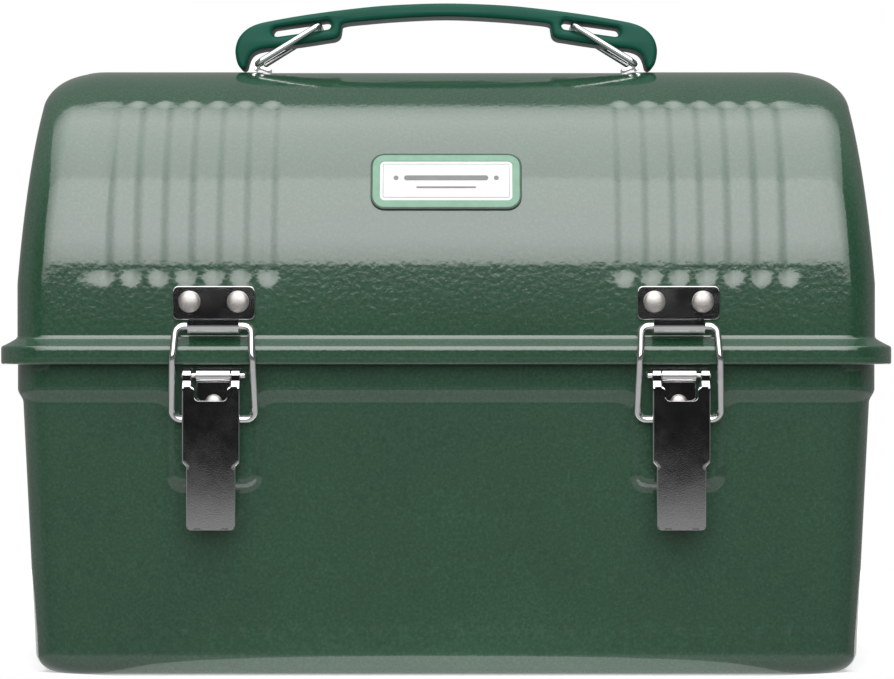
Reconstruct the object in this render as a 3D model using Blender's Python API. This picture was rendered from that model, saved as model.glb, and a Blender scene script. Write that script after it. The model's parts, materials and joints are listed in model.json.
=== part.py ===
"""Dome-lid steel lunch box: drawn tub, hinged dome lid, two over-centre draw latches and a lifting handle.

Metres, +Z up. The origin is the middle of the footprint, on the ground. The front faces -Y.
"""

import math

import bmesh
import bpy
from mathutils import Vector

# ---- driving dimensions, in metres ----
SHEET = 0.0008  # thickness of the drawn steel
GAP = 0.0003  # daylight between touching pieces

BEAD_HALF = (0.1650, 0.0825)  # lid bead, half width and half depth
BEAD_CORNER = 0.0195
BEAD_Z = (0.1151, 0.1245)
BEAD_EDGE = 0.0015  # rounding of the bead's upper edge
LIP_EDGE = 0.0009  # rounding of its lower lip

WALL_HALF = (0.1590, 0.0765)  # lid wall and the tub's upper band
WALL_CORNER = 0.0135
DOME_AXIS_Z = 0.1521
DOME_RADIUS = WALL_HALF[1]
CROWN_Z = DOME_AXIS_Z + DOME_RADIUS
END_LEAN = 0.0901  # inward lean of the lid's end walls, per metre of height
END_FILLET = (0.0186, 0.0170)  # end wall to crown, across and up

TUB_TOP = 0.1230
HEM_HALF = (0.1613, 0.0788)
HEM_BOTTOM = 0.1185
STEP_Z = (0.1009, 0.1065)
STEP_IN = 0.0020
TUB_DRAFT = 0.0442  # inward lean of the tub walls, per metre of depth
FLOOR_EDGE = 0.0080
TUB_CORNER = 0.0130

FLUTE_PITCH = 0.01006
FLUTE_WIDTH = 0.0084
LID_FLUTES = tuple(range(6, 13))
TUB_FLUTES = tuple(range(13))
LATCH_FLUTES = tuple(range(6, 11))
LID_FLUTE_DEPTH = 0.00045
TUB_FLUTE_DEPTH = 0.00025
LID_FLUTE_ANGLES = (36.0, 90.0)  # from the crown towards the front
LID_FLUTE_FOOT_Z = 0.1450
TUB_FLUTE_Z = (0.0154, 0.0920)
LATCH_FLUTE_TOP = 0.0618

LATCH_X = 0.0852
BOSS_WIDTH = 0.0311
BOSS_Z = (0.0707, 0.1030)
PLATE = 0.0010  # thickness of latch and hinge plates
KEEPER_WIDTH = 0.0302
KEEPER_Z = (0.1314, 0.1438)
KEEPER_RIVET = (0.0089, 0.1381)  # offset from the latch's middle, height
HOOK_WIDTH = 0.0189
HOOK_BOTTOM = 0.1263
HOOK_LIP = 0.1311
HOOK_DEPTH = 0.0043  # clear depth inside the hook
WIRE = 0.0013  # radius of the bail wire
BAR_YZ = (-0.0796, 0.1291)  # bail's bar, seated in the hook
PIN_YZ = (-0.0794, 0.1111)  # lever's pin
BAIL_PIVOT_YZ = (-0.0788, 0.0949)
PIN_RADIUS = 0.0012
ROLL_RADIUS = 0.0026
LEVER_SHIFT = 0.0007  # each lever sits this much further out than its keeper
LEVER_HALF = (0.0106, 0.0091)  # upper and lower half width
EAR_WIDTH = 0.0032
EAR_RADIUS = 0.0021  # mean radius of the rolled ears
LEVER_FACE_Y = -0.0840
LEVER_TOP = 0.1070
LEVER_BOTTOM = 0.0546
LEVER_NOTCH = (0.0121, 0.1017)  # width, lowest height

HINGE_X = 0.0850
HINGE_YZ = (0.0862, 0.1198)
HINGE_WIDTH = 0.0240
KNUCKLE = 0.0080  # length of the lid leaf's middle knuckle
HINGE_RADIUS = 0.0024

LINK_WIRE = 0.00115
LINK_FOOT = (0.0732, 0.2313)
LINK_HEAD = (0.0493, 0.2460)
LINK_HALF = 0.0110
HANDLE_HALF_DEPTH = 0.0088
SLOT_X = (0.0447, 0.0675)
SLOT_HEIGHT = 0.0036
SLOT_SLOPE = 0.143

BADGE_ANGLE = 66.4  # from the crown
BADGE_SIZE = (0.0557, 0.0227)
BADGE_CORNER = 0.0052
BADGE_RIM = 0.0036

RETAINER_Z = 0.1500
RETAINER_X = 0.0700
RETAINER_Y = (-0.0600, 0.0660)


def clear_scene():
    for obj in list(bpy.data.objects):
        bpy.data.objects.remove(obj, do_unlink=True)


def finish_material(name, color, roughness, metallic):
    material = bpy.data.materials.new(name)
    material.use_nodes = True
    shader = material.node_tree.nodes["Principled BSDF"]
    shader.inputs["Base Color"].default_value = (*color, 1.0)
    shader.inputs["Roughness"].default_value = roughness
    shader.inputs["Metallic"].default_value = metallic
    return material


def finishes():
    return {
        "enamel": finish_material("green_enamel", (0.045, 0.095, 0.062), 0.25, 0.0),
        "chrome": finish_material("plated_steel", (0.80, 0.80, 0.80), 0.12, 1.0),
        "rivet": finish_material("satin_rivet", (0.72, 0.70, 0.67), 0.35, 1.0),
        "grip": finish_material("moulded_grip", (0.010, 0.110, 0.075), 0.40, 0.0),
        "mint": finish_material("mint_rim", (0.230, 0.560, 0.380), 0.35, 0.0),
        "white": finish_material("white_panel", (0.900, 0.900, 0.890), 0.35, 0.0),
    }


def add_solid(name, verts, faces, material, origin=(0, 0, 0), angle=35):
    """A mesh object from world-space points, with its origin on the given point."""
    mesh = bpy.data.meshes.new(name)
    shift = Vector(origin)
    mesh.from_pydata([Vector(v) - shift for v in verts], [], faces)
    mesh.validate()
    work = bmesh.new()
    work.from_mesh(mesh)
    bmesh.ops.remove_doubles(work, verts=work.verts, dist=1e-6)
    bmesh.ops.recalc_face_normals(work, faces=work.faces)
    work.to_mesh(mesh)
    work.free()
    mesh.shade_smooth()
    mesh.set_sharp_from_angle(angle=math.radians(angle))
    mesh.materials.append(material)
    obj = bpy.data.objects.new(name, mesh)
    obj.location = shift
    bpy.context.scene.collection.objects.link(obj)
    return obj


def hide_cutter(obj):
    obj.hide_render = True
    obj.display_type = "WIRE"
    return obj


def add_boolean(obj, other, operation):
    modifier = obj.modifiers.new(operation.title(), "BOOLEAN")
    modifier.operation = operation
    modifier.solver = "EXACT"
    modifier.object = hide_cutter(other)


def loft(rings, closed=False):
    """Points and faces joining rings of equal length; its ends are capped, or joined to each other."""
    count = len(rings[0])
    verts = [point for ring in rings for point in ring]
    faces = []
    pairs = len(rings) if closed else len(rings) - 1
    for i in range(pairs):
        low = i * count
        high = (i + 1) % len(rings) * count
        for j in range(count):
            k = (j + 1) % count
            faces.append((low + j, low + k, high + k, high + j))
    if not closed:
        faces.append(tuple(range(count)))
        faces.append(tuple(range(len(verts) - count, len(verts))))
    return verts, faces


def rounded_plan(half_x, half_y, radius, z, steps=5):
    """A rectangle with round corners at height z, counter-clockwise from the +X side."""
    radius = min(radius, half_y - 1e-4)
    ring = []
    for quarter, (sx, sy) in enumerate(((1, 1), (-1, 1), (-1, -1), (1, -1))):
        for i in range(steps + 1):
            a = math.radians(90 * (quarter + i / steps))
            x = sx * (half_x - radius) + radius * math.cos(a)
            y = sy * (half_y - radius) + radius * math.sin(a)
            ring.append((x, y, z))
    return ring


def swept_tube(points, radius, sides=8, closed=False):
    """Rings of a round wire along a path, turned as little as possible from one to the next."""
    path = [Vector(p) for p in points]
    total = len(path)
    rings = []
    side = None
    for i, point in enumerate(path):
        before = path[(i - 1) % total] if closed or i else point
        after = path[(i + 1) % total] if closed or i < total - 1 else point
        along = (after - before).normalized()
        if side is None:
            side = along.orthogonal().normalized()
        side = (side - along * side.dot(along)).normalized()
        other = along.cross(side)
        ring = []
        for j in range(sides):
            a = math.tau * j / sides
            ring.append(point + radius * (math.cos(a) * side + math.sin(a) * other))
        rings.append(ring)
    return loft(rings, closed)


def rounded_path(corners, radii, steps=4, closed=False):
    """A path through the corners, each turned on an arc of its own radius."""
    total = len(corners)
    path = []
    for i, (corner, radius) in enumerate(zip(corners, radii)):
        point = Vector(corner)
        if not closed and i in (0, total - 1):
            path.append(point)
            continue
        into = (Vector(corners[i - 1]) - point).normalized()
        out = (Vector(corners[(i + 1) % total]) - point).normalized()
        turn = into.angle(out)
        reach = radius / math.tan(turn / 2)
        middle = point + (into + out).normalized() * radius / math.sin(turn / 2)
        first = point + into * reach - middle
        last = point + out * reach - middle
        spread = first.angle(last)
        for k in range(steps + 1):
            t = k / steps
            arm = (math.sin((1 - t) * spread) * first + math.sin(t * spread) * last) / math.sin(spread)
            path.append(middle + arm)
    return path


def extrude_yz(outline, x_low, x_high):
    """A prism along X from an outline of (y, z) points."""
    return loft([[(x, y, z) for y, z in outline] for x in (x_low, x_high)])


def extrude_xz(outline, y_low, y_high):
    """A prism along Y from an outline of (x, z) points."""
    return loft([[(x, y, z) for x, z in outline] for y in (y_low, y_high)])


def strip_outline(line, thickness):
    """The closed outline of a bent strip, given its middle line."""
    left = []
    right = []
    for i, point in enumerate(line):
        here = Vector(point)
        before = (here - Vector(line[i - 1])).normalized() if i else None
        after = (Vector(line[i + 1]) - here).normalized() if i < len(line) - 1 else None
        along = ((before or after) + (after or before)).normalized()
        normal = Vector((-along.y, along.x))
        facing = (before or after).dot(along)
        offset = normal * thickness / 2 / facing
        left.append(tuple(here + offset))
        right.append(tuple(here - offset))
    return left + right[::-1]


def arc_points(centre, radius, start, end, steps):
    """Points on a circle in the plane, angles in degrees."""
    points = []
    for i in range(steps + 1):
        a = math.radians(start + (end - start) * i / steps)
        points.append((centre[0] + radius * math.cos(a), centre[1] + radius * math.sin(a)))
    return points


def round_bar(start, end, radius, sides=12):
    return swept_tube([start, end], radius, sides)


def domed_rivet(name, centre, outward, radius, material, height=0.0020, reach=0.0):
    """A flat-backed rivet head; the centre is on its flat face."""
    turn = Vector((0, 0, 1)).rotation_difference(Vector(outward).normalized()).to_matrix()
    rings = []
    for lift, share in ((-reach, 1.0), (0.35 * height, 1.0), (0.8 * height, 0.72), (height, 0.3)):
        ring = []
        for j in range(12):
            a = math.tau * j / 12
            local = Vector((radius * share * math.cos(a), radius * share * math.sin(a), lift))
            ring.append(Vector(centre) + turn @ local)
        rings.append(ring)
    verts, faces = loft(rings)
    return add_solid(name, verts, faces, material)


# ---- drawn shells ----
def lid_half_width(z):
    """Half width of the lid: a plumb skirt, a leaning end wall and a round shoulder at the crown."""
    lean_from = 0.1450
    leaned = WALL_HALF[0] - max(0.0, z - lean_from) * END_LEAN
    shoulder = CROWN_Z - END_FILLET[1]
    if z <= shoulder:
        return leaned
    base = WALL_HALF[0] - (shoulder - lean_from) * END_LEAN - END_FILLET[0]
    rise = min(1.0, (z - shoulder) / END_FILLET[1])
    return base + END_FILLET[0] * math.sqrt(1 - rise * rise)


def lid_dome_rings(inset):
    """Rings up the dome; an inset is the distance inside the outer skin."""
    radius = DOME_RADIUS - inset
    rings = []
    for degrees in (0, 12, 24, 35, 45, 54, 62, 69, 75, 80.5, 85.5):
        a = math.radians(degrees)
        z = DOME_AXIS_Z + radius * math.sin(a)
        half_y = radius * math.cos(a)
        half_x = lid_half_width(z + inset) - inset
        rings.append(rounded_plan(half_x, half_y, WALL_CORNER - inset, z))
    return rings


def lid_rings():
    outer = [
        rounded_plan(BEAD_HALF[0] - LIP_EDGE, BEAD_HALF[1] - LIP_EDGE, BEAD_CORNER, BEAD_Z[0]),
        rounded_plan(*BEAD_HALF, BEAD_CORNER, BEAD_Z[0] + LIP_EDGE),
        rounded_plan(*BEAD_HALF, BEAD_CORNER, BEAD_Z[1] - 2 * BEAD_EDGE),
        rounded_plan(BEAD_HALF[0] - BEAD_EDGE, BEAD_HALF[1] - BEAD_EDGE, BEAD_CORNER, BEAD_Z[1] - 0.0008),
        rounded_plan(WALL_HALF[0] + GAP, WALL_HALF[1] + GAP, WALL_CORNER, BEAD_Z[1]),
        rounded_plan(*WALL_HALF, WALL_CORNER, BEAD_Z[1] + GAP),
    ]
    outer += lid_dome_rings(0.0)
    skirt = (BEAD_HALF[0] - SHEET, BEAD_HALF[1] - SHEET)
    ledge = BEAD_Z[1] - 0.0011
    wall = (WALL_HALF[0] - SHEET, WALL_HALF[1] - SHEET)
    inner = lid_dome_rings(SHEET)[::-1]
    inner += [
        rounded_plan(*wall, WALL_CORNER - SHEET, ledge),
        rounded_plan(skirt[0] - 0.0012, skirt[1] - 0.0012, BEAD_CORNER - SHEET, ledge),
        rounded_plan(*skirt, BEAD_CORNER - SHEET, BEAD_Z[1] - 2 * BEAD_EDGE - SHEET),
        rounded_plan(*skirt, BEAD_CORNER - SHEET, BEAD_Z[0] + LIP_EDGE),
        rounded_plan(skirt[0] - 0.0006, skirt[1] - 0.0006, BEAD_CORNER - SHEET, BEAD_Z[0]),
    ]
    return outer, inner


def shell_faces(outer, inner):
    """One thin closed skin: the outer rings, then the inner ones back, joined at the rim."""
    rings = outer + inner
    verts, faces = loft(rings, closed=True)
    count = len(rings[0])
    seam = (len(outer) - 1) * count
    faces = faces[:seam] + faces[seam + count :]
    faces.append(tuple(range(seam, seam + count)))
    faces.append(tuple(range(seam + count, seam + 2 * count)))
    return verts, faces


def flute_cutter(x, path, depth):
    """A shallow bar along (y, z, normal y, normal z) stations that cuts a flute this deep into a wall."""
    rings = []
    last = len(path) - 1
    for i, (y, z, ny, nz) in enumerate(path):
        floor = -depth * (0.25 if i in (0, last) else 1.0)
        ring = []
        for half, lift in ((-0.5, 0.0006), (-0.5, 0.0), (-0.2, floor), (0.2, floor), (0.5, 0.0), (0.5, 0.0006)):
            ring.append((x + half * FLUTE_WIDTH, y + ny * lift, z + nz * lift))
        rings.append(ring)
    return loft(rings)


def lid_flute_path(side):
    stations = []
    first, last = LID_FLUTE_ANGLES
    for degrees in (first, first + 2.6, 45, 55, 66, 78, last):
        a = math.radians(degrees)
        y = side * DOME_RADIUS * math.sin(a)
        z = DOME_AXIS_Z + DOME_RADIUS * math.cos(a)
        stations.append((y, z, side * math.sin(a), math.cos(a)))
    for z in (LID_FLUTE_FOOT_Z + 0.0035, LID_FLUTE_FOOT_Z):
        stations.append((side * DOME_RADIUS, z, side, 0.0))
    return stations


def tub_wall_inset(z):
    """How far the tub wall lies inside the upper band at a height below the step."""
    return STEP_IN + (STEP_Z[0] - z) * TUB_DRAFT


def tub_flute_path(side, top):
    stations = []
    low = TUB_FLUTE_Z[0]
    for z in (low, low + 0.0035, top - 0.0035, top):
        stations.append((side * (WALL_HALF[1] - tub_wall_inset(z)), z, side, 0.0))
    return stations


def merge_parts(parts):
    verts = []
    faces = []
    for part_verts, part_faces in parts:
        shift = len(verts)
        verts += part_verts
        faces += [tuple(i + shift for i in face) for face in part_faces]
    return verts, faces


def build_lid(finish):
    lid = add_solid("lid_shell", *shell_faces(*lid_rings()), finish["enamel"], (0, *HINGE_YZ))
    cutters = []
    for side in (-1, 1):
        for index in LID_FLUTES:
            for hand in (-1, 1):
                cutters.append(flute_cutter(hand * (index + 0.5) * FLUTE_PITCH, lid_flute_path(side), LID_FLUTE_DEPTH))
    add_boolean(lid, add_solid("lid_flute_bars", *merge_parts(cutters), finish["enamel"]), "DIFFERENCE")


def tub_rings():
    outer = []
    for degrees in (90, 60, 30, 0):
        a = math.radians(degrees)
        z = FLOOR_EDGE * (1 - math.sin(a))
        inset = tub_wall_inset(FLOOR_EDGE) + FLOOR_EDGE * (1 - math.cos(a))
        outer.append(rounded_plan(WALL_HALF[0] - inset, WALL_HALF[1] - inset, TUB_CORNER, z))
    band = [
        (STEP_Z[0], STEP_IN),
        (STEP_Z[1], 0.0),
        (HEM_BOTTOM - 0.0006, 0.0),
    ]
    for z, inset in band:
        outer.append(rounded_plan(WALL_HALF[0] - inset, WALL_HALF[1] - inset, TUB_CORNER, z))
    outer += [
        rounded_plan(HEM_HALF[0] - 0.0006, HEM_HALF[1] - 0.0006, WALL_CORNER + 0.0024, HEM_BOTTOM),
        rounded_plan(*HEM_HALF, WALL_CORNER + 0.0027, HEM_BOTTOM + 0.0010),
        rounded_plan(*HEM_HALF, WALL_CORNER + 0.0027, TUB_TOP - 0.0012),
        rounded_plan(HEM_HALF[0] - 0.0012, HEM_HALF[1] - 0.0012, WALL_CORNER + 0.0015, TUB_TOP),
    ]
    inner = [rounded_plan(WALL_HALF[0] - SHEET, WALL_HALF[1] - SHEET, TUB_CORNER - SHEET, TUB_TOP)]
    for z, inset in ((STEP_Z[1], 0.0), (STEP_Z[0], STEP_IN)):
        half = (WALL_HALF[0] - inset - SHEET, WALL_HALF[1] - inset - SHEET)
        inner.append(rounded_plan(*half, TUB_CORNER - SHEET, z))
    for degrees in (0, 30, 60, 90):
        a = math.radians(degrees)
        edge = FLOOR_EDGE - SHEET
        z = FLOOR_EDGE - edge * math.sin(a)
        inset = tub_wall_inset(FLOOR_EDGE) + SHEET + edge * (1 - math.cos(a))
        inner.append(rounded_plan(WALL_HALF[0] - inset, WALL_HALF[1] - inset, TUB_CORNER - SHEET, z))
    return outer, inner


def build_tub(finish):
    outer, inner = tub_rings()
    verts, faces = loft(outer + inner)
    tub = add_solid("tub", verts, faces, finish["enamel"])
    bars = []
    for side in (-1, 1):
        for index in TUB_FLUTES:
            under_latch = side < 0 and index in LATCH_FLUTES
            top = LATCH_FLUTE_TOP if under_latch else TUB_FLUTE_Z[1]
            for hand in (-1, 1):
                bars.append(flute_cutter(hand * (index + 0.5) * FLUTE_PITCH, tub_flute_path(side, top), TUB_FLUTE_DEPTH))
    add_boolean(tub, add_solid("tub_flute_bars", *merge_parts(bars), finish["enamel"]), "DIFFERENCE")
    bosses = []
    for hand in (-1, 1):
        outline = boss_outline(hand * LATCH_X)
        bosses.append(extrude_xz(outline, -WALL_HALF[1], -WALL_HALF[1] + 0.0033))
    add_boolean(tub, add_solid("latch_bosses", *merge_parts(bosses), finish["enamel"]), "UNION")


def boss_outline(x):
    """The latch's raised pad: round lower corners, running up into the band."""
    half = BOSS_WIDTH / 2
    r = 0.0045
    low, high = BOSS_Z
    right = arc_points((x + half - r, low + r), r, -90, 0, 3)
    left = arc_points((x - half + r, low + r), r, 180, 270, 3)
    return [*right, (x + half, high), (x - half, high), *left]


# ---- latches ----
def rounded_outline(x, width, z_low, z_high, radius):
    half = width / 2
    points = []
    corners = (
        (x + half - radius, z_low + radius, -90),
        (x + half - radius, z_high - radius, 0),
        (x - half + radius, z_high - radius, 90),
        (x - half + radius, z_low + radius, 180),
    )
    for cx, cz, start in corners:
        points += arc_points((cx, cz), radius, start, start + 90, 2)
    return points


def build_keeper(tag, x, finish):
    back = -WALL_HALF[1] - GAP
    front = back - PLATE
    plate = extrude_xz(rounded_outline(x, KEEPER_WIDTH, *KEEPER_Z, 0.0021), back, front)
    keeper = add_solid(f"keeper_{tag}", *plate, finish["chrome"])
    middle = (back + front) / 2
    lip = front - HOOK_DEPTH - PLATE / 2
    low = HOOK_BOTTOM + PLATE / 2
    bend = (middle - lip) / 2
    centre = (middle - bend, low + bend)
    line = [(middle, KEEPER_Z[0] + 0.0015), *arc_points(centre, bend, 0, -180, 6), (lip, HOOK_LIP)]
    hook = extrude_yz(strip_outline(line, PLATE), x - HOOK_WIDTH / 2, x + HOOK_WIDTH / 2)
    add_boolean(keeper, add_solid(f"hook_bar_{tag}", *hook, finish["chrome"]), "UNION")
    for index, hand in enumerate((-1, 1)):
        centre = (x + hand * KEEPER_RIVET[0], front - GAP, KEEPER_RIVET[1])
        domed_rivet(f"keeper_rivet_{tag}_{index + 1}", centre, (0, -1, 0), 0.0040, finish["rivet"])


def build_latch_base(tag, x, finish):
    back = -WALL_HALF[1] - GAP
    middle = back - PLATE / 2
    y, z = PIN_YZ
    mean = ROLL_RADIUS - PLATE / 2
    roll = arc_points((y, z), mean, 0, 300, 10)
    line = [(middle, 0.0770), (middle, z - 0.0012), *roll]
    shape = extrude_yz(strip_outline(line, PLATE), x - 0.0066, x + 0.0066)
    add_solid(f"latch_base_{tag}", *shape, finish["chrome"])
    for index, height in enumerate((0.1010, 0.0835)):
        centre = (x, back - PLATE - GAP, height)
        domed_rivet(f"base_rivet_{tag}_{index + 1}", centre, (0, -1, 0), 0.0031, finish["rivet"], 0.0015)
    verts, faces = round_bar((x - 0.0119, y, z), (x + 0.0119, y, z), PIN_RADIUS)
    add_solid(f"latch_pin_{tag}", verts, faces, finish["chrome"], (x, y, z))


def lever_section(x, z):
    """The U of the lever at one height: outer run, then the inner run back."""
    wide, narrow = LEVER_HALF
    step = min(1.0, max(0.0, (z - 0.0775) / 0.0020))
    half = narrow + (wide - narrow) * step
    face = LEVER_FACE_Y
    depth = 0.0018 + 0.0046 * min(1.0, max(0.0, (z - 0.0600) / 0.0300))
    back = face + depth
    inner = face + PLATE
    wall = half - PLATE
    points = [(-half, back), (-half, face), (half, face), (half, back), (wall, back), (wall, inner), (-wall, inner), (-wall, back)]
    return [(x + px, py, z) for px, py in points]


def build_lever(tag, x, finish):
    """A channel-shaped lever hung on its pin by two rolled ears, notched between them."""
    y, z = PIN_YZ
    middle = x + math.copysign(LEVER_SHIFT, x)
    levels = (LEVER_BOTTOM, 0.0600, 0.0775, 0.0795, 0.0900, LEVER_TOP)
    body = loft([lever_section(middle, level) for level in levels])
    lever = add_solid(f"lever_{tag}", *body, finish["chrome"], (x, y, z))
    face = LEVER_FACE_Y + PLATE / 2
    line = [(face, LEVER_TOP - 0.0030), (face, LEVER_TOP - 0.0008), (y - EAR_RADIUS, z - 0.0006)]
    line += arc_points((y, z), EAR_RADIUS, 180, -40, 8)
    outline = strip_outline(line, PLATE)
    ears = []
    for hand in (-1, 1):
        outer = middle + hand * (LEVER_HALF[0] - 0.0001)
        inner = outer - hand * EAR_WIDTH
        ears.append(extrude_yz(outline, min(inner, outer), max(inner, outer)))
    add_boolean(lever, add_solid(f"lever_ears_{tag}", *merge_parts(ears), finish["chrome"]), "UNION")
    notch = rounded_outline(middle, LEVER_NOTCH[0], LEVER_NOTCH[1], LEVER_TOP + 0.0060, 0.0020)
    bores = [
        extrude_xz(notch, LEVER_FACE_Y - 0.0040, LEVER_FACE_Y + 0.0030),
        round_bar((x - 0.0150, *BAIL_PIVOT_YZ), (x + 0.0150, *BAIL_PIVOT_YZ), WIRE + GAP),
    ]
    add_boolean(lever, add_solid(f"lever_cuts_{tag}", *merge_parts(bores), finish["chrome"]), "DIFFERENCE")


def build_bail(tag, x, finish):
    """A sprung wire bail: inward ends in the lever, legs bowed over the bead, a bar across the top."""
    foot_y, foot_z = BAIL_PIVOT_YZ
    half_route = [
        ((0.0099, foot_y, foot_z), 0.0),
        ((0.0155, foot_y, foot_z), 0.0034),
        ((0.0149, -0.0850, 0.1130), 0.0060),
        ((0.0142, -0.0850, 0.1245), 0.0050),
        ((0.0138, *BAR_YZ), 0.0034),
    ]
    corners = [((x + px, py, pz), r) for (px, py, pz), r in half_route]
    corners += [((x - px, py, pz), r) for (px, py, pz), r in half_route[::-1]]
    path = rounded_path([c for c, _ in corners], [r for _, r in corners], steps=3)
    add_solid(f"bail_{tag}", *swept_tube(path, WIRE), finish["chrome"], (x, *BAIL_PIVOT_YZ), 60)


# ---- rear hinges ----
def hinge_leaf(name, x, line, neck, spans, finish):
    """A leaf: a wide bent plate, then a neck and a knuckle for each span along X."""
    plate = extrude_yz(strip_outline(line, PLATE), x - HINGE_WIDTH / 2, x + HINGE_WIDTH / 2)
    leaf = add_solid(name, *plate, finish["chrome"], (x, *HINGE_YZ))
    knuckles = []
    for low, high in spans:
        knuckles.append(extrude_yz(strip_outline(neck, PLATE), x + low, x + high))
    add_boolean(leaf, add_solid(f"{name}_knuckles", *merge_parts(knuckles), finish["chrome"]), "UNION")


def build_hinge(tag, x, finish):
    y, z = HINGE_YZ
    wall = WALL_HALF[1] + GAP + PLATE / 2
    mean = HINGE_RADIUS - PLATE / 2
    half = HINGE_WIDTH / 2
    middle = KNUCKLE / 2
    over = BEAD_Z[1] + 0.0013
    under = BEAD_Z[0] - 0.0013
    lid_line = [(wall, 0.1420), (wall, over), (0.0838, over)]
    lid_neck = [(0.0826, over), (0.0842, over), *arc_points((y, z), mean, 110, -190, 9)]
    hinge_leaf(f"hinge_lid_leaf_{tag}", x, lid_line, lid_neck, [(-middle, middle)], finish)
    tub_line = [(wall, 0.0970), (wall, under), (0.0838, under)]
    tub_neck = [(0.0826, under), (0.0842, under), *arc_points((y, z), mean, -110, 190, 9)]
    spans = [(-half, -middle - GAP), (middle + GAP, half)]
    hinge_leaf(f"hinge_tub_leaf_{tag}", x, tub_line, tub_neck, spans, finish)
    pin = round_bar((x - half - 0.0008, y, z), (x + half + 0.0008, y, z), PIN_RADIUS)
    add_solid(f"hinge_pin_{tag}", *pin, finish["chrome"], (x, y, z))
    face = WALL_HALF[1] + 2 * GAP + PLATE
    for index, hand in enumerate((-1, 1)):
        at = x + hand * 0.0070
        domed_rivet(f"hinge_lid_rivet_{tag}_{index + 1}", (at, face, 0.1350), (0, 1, 0), 0.0032, finish["rivet"])
        domed_rivet(f"hinge_tub_rivet_{tag}_{index + 1}", (at, face, 0.1035), (0, 1, 0), 0.0032, finish["rivet"])


# ---- handle ----
def handle_outline():
    """Right half of the grip's side view, from the top middle round to the underside middle."""
    return [
        (0.0000, 0.2550), (0.0210, 0.2545), (0.0414, 0.2529), (0.0583, 0.2504), (0.0701, 0.2483),
        (0.0745, 0.2470), (0.0790, 0.2441), (0.0817, 0.2405), (0.0823, 0.2370), (0.0818, 0.2317),
        (0.0797, 0.2291), (0.0770, 0.2291), (0.0767, 0.2317), (0.0761, 0.2338), (0.0745, 0.2354),
        (0.0713, 0.2364), (0.0678, 0.2385), (0.0565, 0.2394), (0.0422, 0.2416), (0.0414, 0.2450),
        (0.0405, 0.2486), (0.0000, 0.2498),
    ]


def slot_outline(hand):
    """The inclined slot in one end of the grip."""
    near, far = SLOT_X
    radius = SLOT_HEIGHT / 2
    points = []
    for x, start in ((far - radius, -90), (near + radius, 90)):
        z = LINK_HEAD[1] - SLOT_SLOPE * (x - LINK_HEAD[0])
        points += arc_points((x, z), radius, start, start + 180, 4)
    return [(hand * x, z) for x, z in points]


def build_handle(finish):
    right = handle_outline()
    left = [(-x, z) for x, z in right[-2:0:-1]]
    grip = extrude_xz(right + left, -HANDLE_HALF_DEPTH, HANDLE_HALF_DEPTH)
    handle = add_solid("handle_grip", *grip, finish["grip"])
    slots = [extrude_xz(slot_outline(hand), -0.0200, 0.0200) for hand in (-1, 1)]
    add_boolean(handle, add_solid("handle_slots", *merge_parts(slots), finish["grip"]), "DIFFERENCE")
    for tag, hand in (("left", -1), ("right", 1)):
        foot = (hand * LINK_FOOT[0], 0.0, LINK_FOOT[1])
        head = (hand * LINK_HEAD[0], 0.0, LINK_HEAD[1])
        corners = [
            (foot[0], -LINK_HALF, foot[2]), (head[0], -LINK_HALF, head[2]),
            (head[0], LINK_HALF, head[2]), (foot[0], LINK_HALF, foot[2]),
        ]
        path = rounded_path(corners, [0.0021] * 4, steps=3, closed=True)
        add_solid(f"link_{tag}", *swept_tube(path, LINK_WIRE, 8, True), finish["chrome"], foot, 60)
        build_link_bracket(tag, hand, finish)


def build_link_bracket(tag, hand, finish):
    """A short strap rolled round the link's lower bar, riveted through the crown from inside."""
    mean = 0.0019
    base = CROWN_Z + GAP + 0.00045
    x, z = LINK_FOOT
    roll = arc_points((-x, z), mean, 250, -40, 9)
    line = [*roll, (-x + 0.0034, base), (-x + 0.0048, base)]
    outline = [(-hand * px, pz) for px, pz in strip_outline(line, 0.0009)]
    add_solid(f"link_bracket_{tag}", *extrude_xz(outline, -0.0060, 0.0060), finish["chrome"])
    for index, side in enumerate((-1, 1)):
        centre = (hand * (x - 0.0010), side * 0.0031, CROWN_Z - SHEET - GAP)
        domed_rivet(f"bracket_rivet_{tag}_{index + 1}", centre, (0, 0, -1), 0.0024, finish["rivet"], 0.0012)


# ---- badge ----
def badge_loop(width, height, radius, lift):
    """A round-cornered outline laid on the dome, lifted above its skin."""
    loop = []
    corners = ((1, 1, 0), (-1, 1, 90), (-1, -1, 180), (1, -1, 270))
    for sx, sv, start in corners:
        centre = (sx * (width / 2 - radius), sv * (height / 2 - radius))
        for u, v in arc_points(centre, radius, start, start + 90, 4):
            a = math.radians(BADGE_ANGLE) - v / DOME_RADIUS
            reach = DOME_RADIUS + lift
            loop.append((u, -reach * math.sin(a), DOME_AXIS_Z + reach * math.cos(a)))
    return loop


def build_badge(finish):
    outer = (*BADGE_SIZE, BADGE_CORNER)
    hole = (BADGE_SIZE[0] - 2 * BADGE_RIM, BADGE_SIZE[1] - 2 * BADGE_RIM, 0.0024)
    loops = [badge_loop(*outer, GAP), badge_loop(*outer, 0.0012), badge_loop(*hole, 0.0012), badge_loop(*hole, GAP)]
    add_solid("badge_frame", *loft(loops, closed=True), finish["mint"])
    panel = (hole[0] - 2 * GAP, hole[1] - 2 * GAP, 0.0022)
    add_solid("badge_panel", *badge_panel(*panel), finish["white"])


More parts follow.
